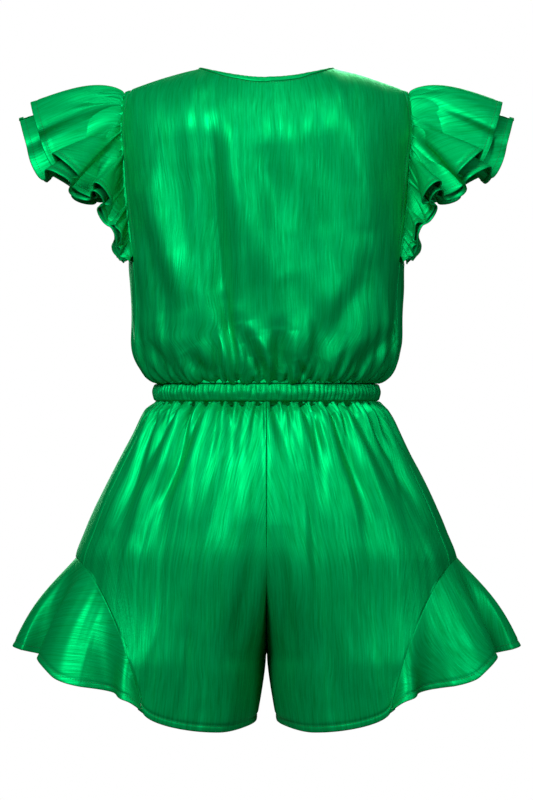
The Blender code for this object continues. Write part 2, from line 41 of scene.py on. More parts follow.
# The romper's own sizes in metres. The wearer faces -Y, their left is +X.
form = {
    "neckHalf": 0.083,
    "shoulderDrop": 0.027,
    "neckDrop": 0.017,
    "neckReach": 0.072,
    "crest": 0.085,
    "underarm": -0.236,
    "armholeFront": 0.052,
    "armholeBack": 0.049,
    "waistTop": -0.3840,
    "waistBottom": -0.4030,
    "waistHalf": 0.1335,
    "waistDepth": 0.0985,
    "blouse": 0.055,
    "hipLine": -0.550,
    "crotch": -0.714,
    "hem": -0.795,
    "hemInner": 0.0125,
    "flounceSide": -0.594,
    "flounceEnd": -0.7604,
    "flounceStart": 0.193,
    "binding": 0.009,
    "power": 2.4,
    "sideSeam": math.radians(66.5),
    "legSideSeam": 0.36,
    "cloth": 0.0009,
    "creaseDepth": 1.6,
    "seam": 0.0003,
}

# height, half width, depth behind, depth in front
bodiceTable = np.array([
    (-0.3840, 0.1672, 0.119, 0.121),
    (-0.3350, 0.1670, 0.119, 0.123),
    (-0.2850, 0.1652, 0.118, 0.126),
    (-0.2360, 0.1690, 0.118, 0.130),
    (-0.1500, 0.1745, 0.117, 0.124),
    (-0.0800, 0.1760, 0.116, 0.116),
    (0.0000, 0.1720, 0.114, 0.112),
])
# height, half width, depth
shortsTable = np.array([
    (-0.8000, 0.2400, 0.140),
    (-0.7000, 0.2380, 0.146),
    (-0.5940, 0.2320, 0.152),
    (-0.5610, 0.2200, 0.149),
    (-0.5250, 0.2050, 0.144),
    (-0.4880, 0.1867, 0.136),
    (-0.4640, 0.1745, 0.129),
    (-0.4400, 0.1622, 0.121),
    (-0.4150, 0.1490, 0.110),
    (-0.4030, 0.1360, 0.0995),
])


def tableAt(table, place):
    # columns of a table at places along its first column, by a smooth curve
    keys = table[:, 0]
    place = np.clip(place, keys[0], keys[-1])
    last = len(keys) - 1
    k = np.clip(np.searchsorted(keys, place, side="right") - 1, 0, last - 1)
    before, after = np.maximum(k - 1, 0), np.minimum(k + 2, last)
    span = keys[k + 1] - keys[k]
    left = np.where(k > 0, keys[k] - keys[before], span)
    right = np.where(k + 2 <= last, keys[after] - keys[k + 1], span)
    t = ((place - keys[k]) / span)[..., None]
    slopeA = (table[k + 1] - table[before]) * (span / (span + left))[..., None]
    slopeB = (table[after] - table[k]) * (span / (span + right))[..., None]
    curve = (2 * t**3 - 3 * t**2 + 1) * table[k] + (t**3 - 2 * t**2 + t) * slopeA
    curve = curve + (3 * t**2 - 2 * t**3) * table[k + 1] + (t**3 - t**2) * slopeB
    return np.moveaxis(curve[..., 1:], -1, 0)


def lerp(a, b, t):
    return a + (b - a) * t


def unit(t):
    return np.clip(t, 0.0, 1.0)


def smooth(t):
    t = unit(t)
    return t * t * (3 - 2 * t)


def bump(t):
    # 1 in the middle, 0 at a distance of 1 and beyond
    return np.cos(np.clip(np.abs(t), 0, 1) * math.pi / 2) ** 2


def section(angle):
    s, c = np.sin(angle), np.cos(angle)
    size = (np.abs(s) ** form["power"] + np.abs(c) ** form["power"]) ** (1 / form["power"])
    return s / size, c / size


def alongOf(across):
    return np.clip(1 - np.abs(across) ** form["power"], 0, 1) ** (1 / form["power"])


def points(x, y, z):
    return np.stack(np.broadcast_arrays(x, y, z), axis=-1).astype(float)


# bodice

def armholeDepth(z, back):
    low, high = form["underarm"], -form["shoulderDrop"]
    k = np.clip(((low + high) / 2 - z) / ((high - low) / 2), -1, 1)
    angle = np.arccos(np.sign(k) * np.abs(k) ** 1.25)
    if back:
        return form["armholeBack"] * np.cos(angle / 2)
    return form["armholeBack"] * np.cos(angle / 2) ** 4 - form["armholeFront"] * np.abs(np.sin(angle)) ** 0.7


def shoulderZ(x):
    x = np.abs(x)
    tip = tableAt(bodiceTable, np.array(-form["shoulderDrop"]))[0]
    neck = -form["neckDrop"] * (1 - (x / form["neckHalf"]) ** 2)
    beyond = np.clip((x - form["neckHalf"]) / (tip - form["neckHalf"]), 0, None)
    slope = -form["shoulderDrop"] * beyond**1.25
    return np.where(x < form["neckHalf"], neck, slope)


def neckReach(x):
    return form["neckReach"] * np.sqrt(np.clip(1 - (np.abs(x) / form["neckHalf"]) ** 2, 0, 1))


def bodiceSection(z, behind):
    width, back, front = tableAt(bodiceTable, z)
    depth = np.where(behind, back, front)
    swell = np.sqrt(1 - (1 - unit((z - form["waistTop"]) / form["blouse"])) ** 2)
    return lerp(form["waistHalf"], width, swell), lerp(form["waistDepth"], depth, swell)


def edgeAngle(z, back):
    high = -form["shoulderDrop"]
    zz = np.minimum(z, high - form["seam"])
    behind = armholeDepth(zz, back)
    depth = bodiceSection(zz, behind > 0)[1]
    roll = np.sqrt(1 - (1 - unit((high - zz) / form["crest"])) ** 2)
    share = np.clip((behind if back else -behind) / (depth * roll), -1, 1)
    armhole = np.arctan2(alongOf(share), share)
    seamAngle = form["sideSeam"] if back else math.pi - form["sideSeam"]
    return np.where(z <= form["underarm"], seamAngle, armhole)


def tipStretch(z, back):
    return lerp(1, 1 / section(edgeAngle(z, back))[0], smooth((z + 0.12) / 0.06))


def bodicePoint(angle, z, back):
    across, along = section(angle)
    width, depth = bodiceSection(z, (along < 0) | back)
    x = width * across * tipStretch(z, back)
    top = shoulderZ(x) if back else np.where(np.abs(x) >= form["neckHalf"], shoulderZ(x), 0.0)
    rise = smooth((z + 0.15) / (0.15 - form["shoulderDrop"]))
    height = z + rise * (top + form["shoulderDrop"])
    below = unit((top - height) / form["crest"])
    roll = np.sqrt(1 - (1 - below) ** 2)
    reach = neckReach(x) if back else 0.0 * x
    y = lerp(reach, depth * along, lerp(roll, np.sin(below * math.pi / 2), reach / form["neckReach"]))
    return points(x, y if back else -y, height)


def bodiceHeight(v):
    low, high = form["waistTop"] + form["seam"], -form["shoulderDrop"]
    blouse, crest = form["blouse"], form["crest"]
    lower = low + blouse * (1 - np.cos(np.clip(v, 0, 0.25) / 0.25 * math.pi / 2))
    middle = lerp(low + blouse, high - crest, (v - 0.25) / 0.5)
    upper = high - crest + crest * np.sin(np.clip(v - 0.75, 0, 0.25) / 0.25 * math.pi / 2)
    return np.where(v < 0.25, lower, np.where(v < 0.75, middle, upper))


def backSurface(u, v):
    z = bodiceHeight(v)
    edge = edgeAngle(z, True)
    return bodicePoint(lerp(edge, -edge, u), z, True)


def frontSurface(side):
    def surface(u, v):
        z = bodiceHeight(v)
        edge = edgeAngle(z, False)
        width = bodiceSection(z, np.zeros_like(z, bool))[0] * tipStretch(z, False)
        across = lerp(-0.066, form["neckHalf"], v**1.15) / width
        made = bodicePoint(lerp(edge, np.arctan2(across, alongOf(across)), u), z, False)
        made[..., 0] *= side
        return made

    return surface


# shorts

def legBottom(u):
    start = form["flounceStart"]
    away = unit(np.abs(u - 0.5) / (0.5 - start))
    seam = lerp(form["flounceSide"], form["flounceEnd"], away**4.1)
    beyond = unit((np.abs(u - 0.5) - (0.5 - start)) / start)
    fall = np.sin(beyond * math.pi / 2) ** 0.4 * (1 - 0.12 * smooth((beyond - 0.7) / 0.3))
    return lerp(seam, form["hem"], fall)


def legPoint(u, z):
    halfWidth, depth = tableAt(shortsTable, z)
    across, along = section(math.pi * u)
    fall = unit((form["hipLine"] - z) / (form["hipLine"] - form["crotch"]))
    closed = (1 - (1 - fall**3) ** 1.5)[..., None]
    inner = form["hemInner"] * unit((form["crotch"] - z) / (form["crotch"] - form["hem"])) ** 1.3
    x = lerp(inner, halfWidth, across)
    share = np.clip(np.abs(2 * (x - inner) / (halfWidth - inner) - 1), 0, 1)
    y = depth * np.sign(along) * (1 - share**2.6) ** (1 / 2.6)
    return lerp(points(halfWidth * across, depth * along, z), points(x, y, z), closed)


def legHeight(u, v):
    top, hip = form["waistBottom"] - form["seam"], form["hipLine"]
    crotch = (hip - form["crotch"]) / (hip - form["hem"])
    t = np.clip((v - 0.5) / 0.5, 0, 1)
    above = crotch * np.sin(np.clip(t / 0.6, 0, 1) * math.pi / 2)
    low = np.where(t < 0.6, above, lerp(crotch, 1.0, (t - 0.6) / 0.4))
    upper = lerp(top, hip, (np.clip(v, 0, 0.5) / 0.5) ** 1.3)
    return np.where(v <= 0.5, upper, lerp(hip, legBottom(u), low))


def legSurface(side, start, end):
    def surface(u, v):
        roundLeg = lerp(start, end, u)
        made = legPoint(roundLeg, legHeight(roundLeg, v))
        made[..., 0] *= side
        return made

    return surface


# cloth made from a surface

def gridNormals(p, outward):
    across, along = np.gradient(p, axis=1), np.gradient(p, axis=0)
    n = np.cross(across, along) * outward
    size = np.linalg.norm(n, axis=-1, keepdims=True)
    return n / np.maximum(size, 1e-12)


def arc(p, axis):
    # length along a grid's rows or columns, from its start
    steps = np.linalg.norm(np.diff(p, axis=axis), axis=-1)
    start = np.zeros_like(np.take(steps, [0], axis=axis))
    return np.concatenate([start, np.cumsum(steps, axis=axis)], axis=axis)


def makeMesh(name, verts, faces, uv):
    mesh = bpy.data.meshes.new(name)
    mesh.from_pydata(verts.tolist(), [], faces.tolist())
    weave = mesh.uv_layers.new(name="weave")
    weave.data.foreach_set("uv", uv[np.asarray(faces).ravel()].astype(np.float32).ravel())
    mesh.shade_smooth()
    obj = bpy.data.objects.new(name, mesh)
    bpy.context.scene.collection.objects.link(obj)
    return obj


def gridFaces(rows, columns, ring):
    r, c = np.meshgrid(np.arange(rows - 1), np.arange(columns if ring else columns - 1), indexing="ij")
    after = (c + 1) % columns
    row, below = r * columns, (r + 1) * columns
    return np.stack([row + c, row + after, below + after, below + c], -1).reshape(-1, 4)


def applyAll(obj):
    bpy.ops.object.select_all(action="DESELECT")
    bpy.context.view_layer.objects.active = obj
    obj.select_set(True)
    for modifier in list(obj.modifiers):
        bpy.ops.object.modifier_apply(modifier=modifier.name)
    obj.select_set(False)


def thicken(obj, thickness):
    solid = obj.modifiers.new("cloth", "SOLIDIFY")
    solid.thickness = thickness
    solid.offset = -1
    applyAll(obj)


def cloth(name, p, outward, grain=0, thickness=None, ring=False):
    # a cloth wall from a grid of outer points; grain is the crinkle's angle to the columns, in degrees
    rows, columns = p.shape[:2]
    down, across = arc(p, 0), arc(p, 1)
    across = across - across[:, columns // 2:columns // 2 + 1]
    turn = math.radians(grain)
    c, s = math.cos(turn), math.sin(turn)
    uv = np.stack([across * c + down * s, down * c - across * s], -1)
    faces = gridFaces(rows, columns, ring)
    if outward < 0:
        faces = faces[:, ::-1]
    obj = makeMesh(name, p.reshape(-1, 3), faces, uv.reshape(-1, 2))
    thicken(obj, thickness or form["cloth"])
    return obj


def area(p):
    a = np.cross(p[1:, 1:] - p[:-1, :-1], p[1:, :-1] - p[:-1, 1:])
    return float(np.linalg.norm(a, axis=-1).sum() / 2)


def meshOut(p, outward, relief):
    return p + gridNormals(p, outward) * relief[..., None]


def seamRoll(p, edges, radius=0.0016):
    # how far the cloth sinks where it rolls into the seams at its named edges
    down, across = arc(p, 0), arc(p, 1)
    gaps = {"low": down, "high": down[-1] - down, "start": across, "end": across[:, -1:] - across}
    total = np.zeros(p.shape[:2])
    for edge in edges:
        near = 1 - unit(gaps[edge] / radius)
        total = np.maximum(total, radius * (1 - np.sqrt(1 - near**2)))
    return -total


def allowance(p, outward, edges, depth=0.004, steps=2):
    # the cloth's own seam allowance, turned in at the named edges
    n = gridNormals(p, outward)
    for edge in edges:
        axis, last = {"low": (0, -1), "high": (0, 1), "start": (1, -1), "end": (1, 1)}[edge]
        line, ups = (np.take(a, [-1 if last > 0 else 0], axis=axis) for a in (p, n))
        turned = [line - ups * depth * k / steps for k in range(1, steps + 1)]
        for strip in turned:
            p = np.concatenate([p, strip] if last > 0 else [strip, p], axis=axis)
            n = np.concatenate([n, ups] if last > 0 else [ups, n], axis=axis)
    return p


def stitchedGroove(gap, distance, depth=0.0011, width=0.0017):
    # how far the thread pulls the cloth in along a line at a distance from an edge
    return -depth * np.exp(-(((gap - distance) / width) ** 2))


def fromEnd(p, axis):
    run = arc(p, axis)
    return np.take(run, [-1], axis=axis) - run


def tuckedIn(p, outward, depth=0.005, steps=2):
    # a ruffle's gathered edge runs on into the seam
    n = gridNormals(p, outward)[0]
    way = p[1] - p[0]
    way = way / np.linalg.norm(way, axis=-1, keepdims=True)
    rows = [p[0] - (way + 0.25 * n) * depth * k / steps for k in range(steps, 0, -1)]
    return np.concatenate([np.array(rows), p], axis=0)


def turnedHem(p, outward, width=0.006, gap=0.0018):
    # the last rows of a piece folded back behind it, as a narrow hem
    n = gridNormals(p, outward)
    end, before = p[-1], p[-2]
    way = end - before
    way = way / np.linalg.norm(way, axis=-1, keepdims=True)
    rows = [p]
    for turn in (45, 90, 135, 180):
        a = math.radians(turn)
        rows.append((end + way * (gap / 2) * math.sin(a) - n[-1] * (gap / 2) * (1 - math.cos(a)))[None])
    rows.append((end - n[-1] * gap - way * width)[None])
    return np.concatenate(rows, axis=0)


def fineEnds(count, low=0.0022, high=0.0022):
    # even places from 0 to 1, with closer ones next to both ends for the seams' roll
    close = [0.0, 0.25, 0.55, 1.0]
    inner = np.linspace(low, 1 - high, count)
    return np.concatenate([np.array(close[:-1]) * low, inner, 1 - np.array(close[:-1])[::-1] * high])


def stations(knots):
    # values of a coordinate from (value, steps to the next value) pairs
    out = []
    for (a, steps), (b, _) in zip(knots, knots[1:]):
        out += list(np.linspace(a, b, steps, endpoint=False))
    return np.array(out + [knots[-1][0]])


def creaseRelief(p, creases, axes=(0, 2)):
    # soft troughs along given short lines: each is points, width and depth, all in mm; a
    # negative depth makes a ridge
    flat = p[..., axes]
    total = np.zeros(p.shape[:2])
    for line, width, depth in creases:
        line = np.array(line, float) * 0.001
        lengths = np.linalg.norm(np.diff(line, axis=0), axis=1)
        whole, done = lengths.sum(), 0.0
        best, place = np.full(p.shape[:2], 1e3), np.zeros(p.shape[:2])
        for a, b, size in zip(line, line[1:], lengths):
            t = unit(((flat - a) @ (b - a)) / size**2)
            away = np.linalg.norm(flat - (a + t[..., None] * (b - a)), axis=-1)
            nearer = away < best
            best = np.where(nearer, away, best)
            place = np.where(nearer, (done + t * size) / whole, place)
            done += size
        taper = np.sin(math.pi * np.clip(place, 0.04, 0.96)) ** 0.7
        trough = np.exp(-((best / (width * 0.001)) ** 2))
        trough = trough - 0.45 * np.exp(-(((best - 1.9 * width * 0.001) / (width * 0.0012)) ** 2))
        total -= depth * 0.001 * trough * taper
    return total * form["creaseDepth"]


def gathers(place, away, setting, seed):
    # uneven folds that leave a gathered seam: place runs along it, away runs from it, both in metres
    rng = np.random.RandomState(seed)
    low, high = place.min(), place.max()
    total = np.zeros(np.broadcast(place, away).shape)
    at = low + setting["pitch"] * rng.uniform(0.3, 0.7)
    while at < high:
        reach = setting["reach"] * rng.uniform(0.45, 1.3)
        depth = setting["depth"] * rng.uniform(0.6, 1.25)
        lean = rng.uniform(-1, 1) * setting["lean"]
        width = setting["pitch"] * rng.uniform(0.16, 0.32)
        spread = width * (1 + away / reach * setting["spread"])
        fade = np.exp(-((away / reach) ** 2))
        if "start" in setting:
            fade = unit(away / setting["start"]) * fade
        total -= depth * np.exp(-(((place - at - lean * away) / spread) ** 2)) * fade
        at += setting["pitch"] * rng.uniform(0.72, 1.3)
    return total


def ripple(a, b, seed, waves, size):
    # a slow uneven swell over a panel, from a few sines
    rng = np.random.RandomState(seed)
    total = 0.0
    for _ in range(waves):
        turn, phase = rng.uniform(0, 2 * math.pi), rng.uniform(0, 2 * math.pi)
        total = total + np.sin((a * math.cos(turn) * 1.7 + b * math.sin(turn) * 0.28) / size + phase)
    return total / waves


def strokes(p, setting, seed):
    # long soft folds, near upright, that lean in or out with their distance from the middle
    rng = np.random.RandomState(seed)
    x, z = p[..., 0], p[..., 2]
    low, high = p.min(axis=(0, 1)), p.max(axis=(0, 1))
    total = 0 * x
    for _ in range(setting["count"]):
        cx, cz = rng.uniform(low[0], high[0]), rng.uniform(low[2], high[2])
        far = (high[2] - cz) / (high[2] - low[2])
        slope = cx * setting["fan"] * (0.25 + far) + rng.uniform(-0.08, 0.08)
        width = rng.uniform(*setting["width"])
        reach = rng.uniform(*setting["reach"])
        size = setting["depth"] * rng.uniform(0.35, 1.0) * rng.choice((-1, 1))
        off = x - cx - slope * (z - cz) - 0.6 * (z - cz) ** 2 * rng.uniform(-1, 1)
        total += size * np.exp(-((off / width) ** 2) - ((z - cz) / reach) ** 2)
    return total


# materials

satinLook = {
    "deep": (0.0, 0.29, 0.058, 1),
    "light": (0.0, 0.47, 0.126, 1),
    "roughness": 0.50,
    "crinkle": 0.30,
    "height": 0.0007,
    "shader": {
        "Metallic": 0.55,
        "Anisotropic": 0.35,
        "Specular IOR Level": 0.3,
        "IOR": 1.25,
        "Specular Tint": (0.0, 1.0, 0.50, 1),
    },
    "sway": 0.02,
    "slubs": ((150, 11), (480, 21), (1200, 42)),
}


def satin(name, strength=1.0):
    # crinkled satin: its slubs and fine creases run along the second direction of the weave map
    made = bpy.data.materials.new(name)
    made.use_nodes = True
    nodes, links = made.node_tree.nodes, made.node_tree.links
    shader = nodes["Principled BSDF"]
    for socket, value in satinLook["shader"].items():
        shader.inputs[socket].default_value = value
    weave = nodes.new("ShaderNodeUVMap")
    weave.uv_map = "weave"
    bend = nodes.new("ShaderNodeTexNoise")
    bend.inputs["Scale"].default_value = 7.0
    bend.inputs["Detail"].default_value = 2.0
    links.new(weave.outputs["UV"], bend.inputs["Vector"])
    sway = nodes.new("ShaderNodeVectorMath")
    sway.operation = "MULTIPLY_ADD"
    sway.inputs[1].default_value = (satinLook["sway"], 0.0, 0.0)
    links.new(bend.outputs["Color"], sway.inputs[0])
    links.new(weave.outputs["UV"], sway.inputs[2])

    def noise(scale):
        place = nodes.new("ShaderNodeMapping")
        place.inputs["Scale"].default_value = (scale[0], scale[1], 1)
        links.new(sway.outputs["Vector"], place.inputs["Vector"])
        node = nodes.new("ShaderNodeTexNoise")
        node.inputs["Scale"].default_value = 1.0
        node.inputs["Detail"].default_value = 2.0
        links.new(place.outputs["Vector"], node.inputs["Vector"])
        return node.outputs["Fac"]

    def add(a, b, share):
        node = nodes.new("ShaderNodeMath")
        node.operation = "MULTIPLY_ADD"
        links.new(b, node.inputs[0])
        node.inputs[1].default_value = share
        links.new(a, node.inputs[2])
        return node.outputs[0]

    def spread(value, low, high, a, b):
        node = nodes.new("ShaderNodeMapRange")
        for key, number in (("From Min", low), ("From Max", high), ("To Min", a), ("To Max", b)):
            node.inputs[key].default_value = number
        links.new(value, node.inputs["Value"])
        return node.outputs["Result"]

    broad, fine, hair = (noise(scale) for scale in satinLook["slubs"])
    height = add(add(fine, broad, 0.45), hair, 0.75)
    ramp = nodes.new("ShaderNodeValToRGB")
    ramp.color_ramp.elements[0].color = satinLook["deep"]
    ramp.color_ramp.elements[1].color = satinLook["light"]
    links.new(spread(height, 0.80, 1.40, 0.0, 1.0), ramp.inputs["Fac"])
    links.new(ramp.outputs["Color"], shader.inputs["Base Color"])
    rough = satinLook["roughness"]
    links.new(spread(height, 0.80, 1.40, rough + 0.06, rough - 0.06), shader.inputs["Roughness"])
    relief = nodes.new("ShaderNodeBump")
    relief.inputs["Strength"].default_value = satinLook["crinkle"] * strength
    relief.inputs["Distance"].default_value = satinLook["height"]
    links.new(height, relief.inputs["Height"])
    links.new(relief.outputs["Normal"], shader.inputs["Normal"])
    along = nodes.new("ShaderNodeTangent")
    along.direction_type = "UV_MAP"
    along.uv_map = "weave"
    links.new(along.outputs["Tangent"], shader.inputs["Tangent"])
    return made


def threadMaterial():
    made = bpy.data.materials.new("greenThread")
    made.use_nodes = True
    nodes, links = made.node_tree.nodes, made.node_tree.links
    shader = nodes["Principled BSDF"]
    shader.inputs["Roughness"].default_value = 0.5
    where = nodes.new("ShaderNodeTexCoord")
    twist = nodes.new("ShaderNodeTexNoise")
    twist.inputs["Scale"].default_value = 900
    ramp = nodes.new("ShaderNodeValToRGB")
    ramp.color_ramp.elements[0].color = (0.0, 0.05, 0.015, 1)
    ramp.color_ramp.elements[1].color = (0.0, 0.17, 0.055, 1)
    links.new(where.outputs["Object"], twist.inputs["Vector"])
    links.new(twist.outputs["Fac"], ramp.inputs["Fac"])
    links.new(ramp.outputs["Color"], shader.inputs["Base Color"])
    return made


panelSatin = satin("panelSatin")
ruffleSatin = satin("ruffleSatin", 0.85)
casingSatin = satin("casingSatin", 0.7)
thread = threadMaterial()
print("materials ready")


def dress(obj, nodes, material):
    obj.data.materials.clear()
    obj.data.materials.append(material)
    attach(obj, "root")
    if nodes:
        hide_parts(*nodes)


threadLook = {"pitch": 0.0032, "long": 0.0023, "thick": 0.00034}


def follow(places, run, line):
    return np.stack([np.interp(places, run, line[:, k]) for k in range(3)], -1)


def stitches(name, rows):
    # Lockstitch dashes: rows holds (points, normals) of each stitched line
    setting = threadLook
    verts, faces = [], []
    for line, normals in rows:
        steps = np.linalg.norm(np.diff(line, axis=0), axis=1)
        run = np.concatenate([[0], np.cumsum(steps)])
        places = np.arange(setting["pitch"] / 2, run[-1], setting["pitch"])
        centre, up = follow(places, run, line), follow(places, run, normals)
        way = follow(places + 0.0005, run, line) - centre
        way /= np.maximum(np.linalg.norm(way, axis=1, keepdims=True), 1e-9)
        side = np.cross(way, up)
        half, thick = setting["long"] / 2, setting["thick"]
        for c, w, s, n in zip(centre, way, side, up):
            if not np.isfinite(w).all() or np.linalg.norm(w) < 0.5:
                continue
            first = len(verts)
            verts.append(c - w * half - n * thick)
            for place in (-0.55, 0.55):
                for a, b in ((1, 0), (0, 1), (-1, 0), (0, -1)):
                    verts.append(c + w * half * place + s * thick * a + n * thick * b)
            verts.append(c + w * half - n * thick)
            for k in range(4):
                m = (k + 1) % 4
                faces.append((first, first + 1 + m, first + 1 + k))
                faces.append((first + 1 + k, first + 1 + m, first + 5 + m))
                faces.append((first + 1 + k, first + 5 + m, first + 5 + k))
                faces.append((first + 9, first + 5 + k, first + 5 + m))
    mesh = bpy.data.meshes.new(name)
    mesh.from_pydata([tuple(v) for v in verts], [], faces)
    mesh.shade_smooth()
    obj = bpy.data.objects.new(name, mesh)
    bpy.context.scene.collection.objects.link(obj)
    obj.data.materials.append(thread)
    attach(obj, "root")
    return obj


def rowAtDistance(p, normals, distance, fromLast=True, lift=0.0001):
    # the line on a cloth grid at a distance from its last (first) row, measured along each column
    run = arc(p, 0)
    run = run[-1] - run if fromLast else run
    line, ups = [], []
    for k in range(p.shape[1]):
        order = np.argsort(run[:, k])
        line.append(follow(distance, run[order, k], p[order, k]))
        ups.append(follow(distance, run[order, k], normals[order, k]))
    line, ups = np.array(line), np.array(ups)
    ups /= np.linalg.norm(ups, axis=1, keepdims=True)
    return line + ups * lift, ups


def panelGrid(surface, us, vs):
    u, v = np.meshgrid(us, vs)
    return surface(u, v), u, v


def hold(u, v, sides=0.03, low=0.03, high=0.05):
    # 1 inside a panel, 0 on its seams
    return smooth(u / sides) * smooth((1 - u) / sides) * smooth(v / low) * smooth((1 - v) / high)


# how far each stitched line lies from its edge; pull is how deep it dents a ruffle, hemTop how far above
# the flounce's end a leg's hem is still stitched
stitchLook = {
    "hem": 0.0085,
    "ruffle": 0.0062,
    "armhole": 0.0085,
    "underarm": -0.215,
    "binding": 0.0105,
    "pull": 0.0008,
    "hemTop": 0.012,
}

# bodice back

backLook = {
    "columns": 192,
    "gathers": {"pitch": 0.0140, "reach": 0.085, "depth": 0.0060, "lean": 0.22, "spread": 1.3},
    "fineGathers": {"pitch": 0.0066, "reach": 0.050, "depth": 0.0022, "lean": 0.2, "spread": 0.8},
    "strokes": {"count": 90, "fan": -1.9, "width": (0.005, 0.014), "reach": (0.03, 0.085), "depth": 0.0012},
    "creases": [
        ([(48, -60), (26, -140), (1, -228), (-38, -312)], 26, -5.0),
        ([(72, -50), (62, -120), (60, -190), (54, -268), (43, -328), (29, -372)], 12, 5.6),
        ([(4, -120), (-16, -200), (-34, -260)], 20, 2.6),
        ([(144, -120), (125, -228), (92, -300)], 20, -4.0),
        ([(150, -176), (118, -294)], 12, 3.2),
        ([(-92, -60), (-108, -130), (-118, -210)], 26, -3.4),
        ([(-62, -70), (-80, -150), (-70, -250)], 22, 2.6),
        ([(15, -100), (-12, -160), (-25, -210)], 26, 2.4),
        ([(-20, -250), (-60, -310), (-92, -350)], 18, 2.6),
        ([(-120, -250), (-84, -315), (-66, -360)], 14, 2.8),
        ([(-160, -315), (-135, -345), (-105, -374)], 12, 3.2),
        ([(-164, -350), (-148, -364), (-130, -378)], 9, 2.6),
        ([(98, -345), (84, -362), (64, -380)], 9, 3.4),
        ([(52, -285), (44, -330), (31, -376)], 6, 4.6),
        ([(36, -312), (24, -345), (10, -376)], 8, 4.6),
        ([(18, -330), (10, -352), (2, -378)], 6, 3.6),
        ([(-15, -318), (-14, -345), (-19, -376)], 8, 4.4),
        ([(6, -350), (4, -366), (2, -379)], 6, 2.6),
        ([(-34, -355), (-40, -368), (-48, -381)], 6, 2.6),
        ([(150, -330), (132, -352), (112, -378)], 11, 3.0),
    ],
}


def bodiceRelief(p, u, v, look, seed, gathered=1.0):
    waist = arc(p, 1)[8][None, :] + 0 * v
    away = arc(p, 0)
    size = hold(u, v, 0.04, 0.025, 0.06)
    total = creaseRelief(p, look["creases"]) * size
    folds = gathers(waist, away, look["gathers"], seed) * hold(u, v, 0.02, 0.012, 0.1)
    fine = gathers(waist, away, look["fineGathers"], seed + 1) * hold(u, v, 0.01, 0.006, 0.1)
    total = total + folds * gathered + fine * gathered
    total = total + strokes(p, look["strokes"], seed + 7) * size
    return total + 0.0008 * ripple(waist, away, seed + 2, 5, 0.024) * size


def makeBodiceBack():
    look = backLook
    us = fineEnds(look["columns"], 0.005, 0.005)
    vs = stations([(0.0, 4), (0.008, 32), (0.10, 50), (0.30, 38), (0.75, 22), (0.985, 4), (1.0, 0)])
    p, u, v = panelGrid(backSurface, us, vs)
    whole = area(p)
    edges = ("start", "end", "low", "high")
    distance = stitchLook["armhole"]
    armhole = stitchedGroove(arc(p, 1), distance) + stitchedGroove(fromEnd(p, 1), distance)
    relief = bodiceRelief(p, u, v, look, 3) + armhole * (p[..., 2] > stitchLook["underarm"])
    p = meshOut(p, 1, relief + seamRoll(p, edges))
    obj = cloth("bodiceBack", allowance(p, 1, edges), 1)
    dress(obj, ["bodice_back"], panelSatin)
    return p, whole


backGrid, backArea = makeBodiceBack()
print("bodice back", round(backArea, 4))

# bodice fronts: the right one crosses over the left one

frontLook = {
    "columns": 146,
    "gap": 0.0034,
    "gathers": {"pitch": 0.0140, "reach": 0.080, "depth": 0.0056, "lean": 0.22, "spread": 1.3},
    "fineGathers": {"pitch": 0.0066, "reach": 0.045, "depth": 0.0020, "lean": 0.2, "spread": 0.8},
    "strokes": {"count": 60, "fan": -1.5, "width": (0.005, 0.014), "reach": (0.03, 0.085), "depth": 0.0016},
    "creases": [
        ([(140, -80), (110, -190), (60, -300)], 20, -3.6),
        ([(120, -60), (84, -180), (36, -290)], 15, 3.4),
        ([(70, -50), (46, -150), (0, -270)], 18, -3.0),
        ([(155, -230), (120, -300), (90, -360)], 13, 3.4),
        ([(100, -330), (84, -350), (70, -378)], 9, 3.0),
        ([(50, -320), (40, -345), (32, -374)], 9, 3.0),
        ([(10, -325), (6, -350), (2, -376)], 8, 2.8),
    ],
}


def makeBodiceFront(side, word):
    look = frontLook
    surface = frontSurface(side)
    vs = stations([(0.0, 4), (0.008, 26), (0.10, 34), (0.30, 28), (0.75, 18), (0.985, 4), (1.0, 0)])
    p, u, v = panelGrid(surface, fineEnds(look["columns"], 0.008, 0.008), vs)
    whole = area(p)
    edges = ("start", "low", "high")
    mirrored = p * np.array([side, 1, 1])
    gathered = 1 - (smooth((u - 0.3) / 0.2) if side > 0 else smooth((u - 0.84) / 0.08))
    relief = bodiceRelief(mirrored, u, v, look, 21 + side, gathered)
    tuck = look["gap"] * smooth(u / 0.4) if side > 0 else 0.0
    p = meshOut(p, -side, relief + seamRoll(p, edges) - tuck)
    obj = cloth(f"bodiceFront{word}", allowance(p, -side, edges), -side)
    dress(obj, [f"bodice_front_{word.lower()}"], panelSatin)
    return p, whole


frontGrids = {}
for side, word in ((-1, "Right"), (1, "Left")):
    frontGrids[side], frontArea = makeBodiceFront(side, word)
    print("bodice front", word, round(frontArea, 4))


# bindings of the neckline

bindingLook = {"wall": 0.0011, "steps": 5, "lift": 0.0004, "cloth": 0.0007, "pucker": 0.00022, "firstRow": 6}


def bindingFrom(name, node, p, outward):
    # p: rows along the strip, columns across it, its middle a little higher than its edges
    look = bindingLook
    t = np.linspace(0, 1, p.shape[1])
    across = look["lift"] + look["wall"] * np.sin(math.pi * np.clip(t, 0.04, 0.96)) ** 0.35
    run = arc(p, 0)
    pucker = np.sin(run * 900 + 3 * np.sin(run * 130)) * np.sin(math.pi * t)[None, :]
    swell = across[None, :] + look["pucker"] * pucker
    made = meshOut(p, outward, swell)
    obj = cloth(name, made, outward, thickness=look["cloth"])
    dress(obj, [node], casingSatin)


